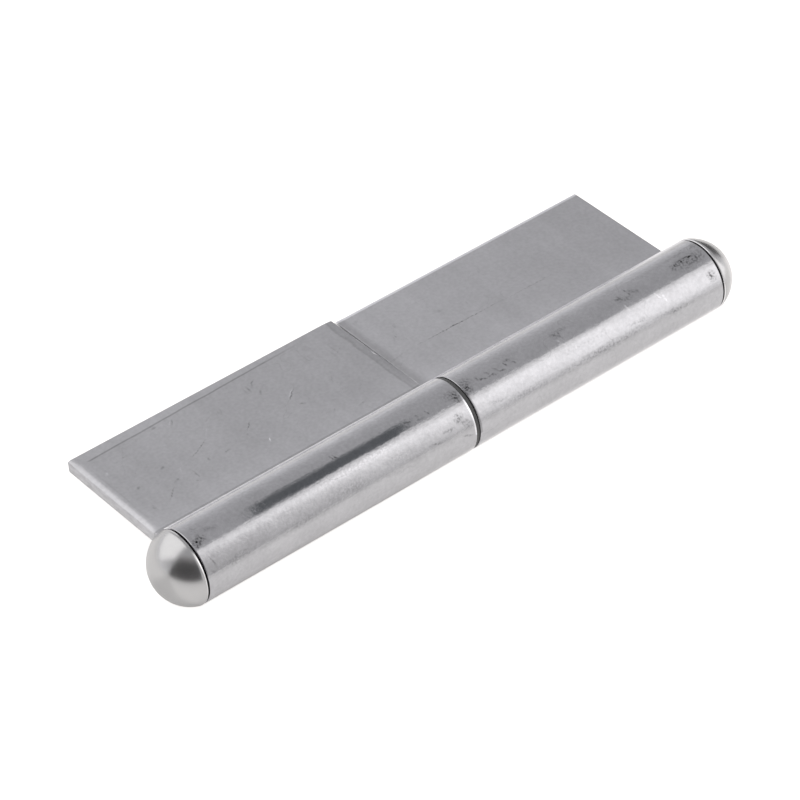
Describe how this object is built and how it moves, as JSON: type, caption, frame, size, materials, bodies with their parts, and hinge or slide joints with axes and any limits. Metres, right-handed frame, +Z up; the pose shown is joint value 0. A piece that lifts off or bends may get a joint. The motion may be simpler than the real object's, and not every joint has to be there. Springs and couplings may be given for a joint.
{
  "type": "lift-off flag hinge",
  "caption": "Weld-on lift-off flag hinge: two plain leaves rolled into a barrel on one pin, with a thrust washer and ball caps.",
  "frame": {"origin": "under the middle of the outline, on the surface that the hinge lies on", "axes": "+X along the pin from the lower half, which holds it, to the upper half that lifts off; +Y from the barrel to the free edges of the leaves; +Z up"},
  "size_m": [0.1548, 0.0482, 0.017],
  "materials": {
    "leaf_steel": "plain rolled sheet, dull on the leaves and burnished on the knuckles, with scuffs",
    "pin_steel": "ground",
    "cap_steel": "turned and tumbled bright",
    "washer_plastic": "dark grey moulded plastic"
  },
  "bodies": {
    "lower_half": {"lower_leaf": "leaf_steel", "hinge_pin": "pin_steel", "lower_ball_cap": "cap_steel"},
    "washer": {"thrust_washer": "washer_plastic"},
    "upper_half": {"upper_leaf": "leaf_steel", "upper_ball_cap": "cap_steel"}
  },
  "joints": [
    {"name": "swing", "type": "hinge", "parent": "lower_half", "child": "washer", "pos_m": [0, -0.01563, 0.0085], "axis": [1, 0, 0], "continuous": true},
    {"name": "lift_off", "type": "slide", "parent": "washer", "child": "upper_half", "axis": [1, 0, 0], "range_m": [0, 0.055]}
  ]
}
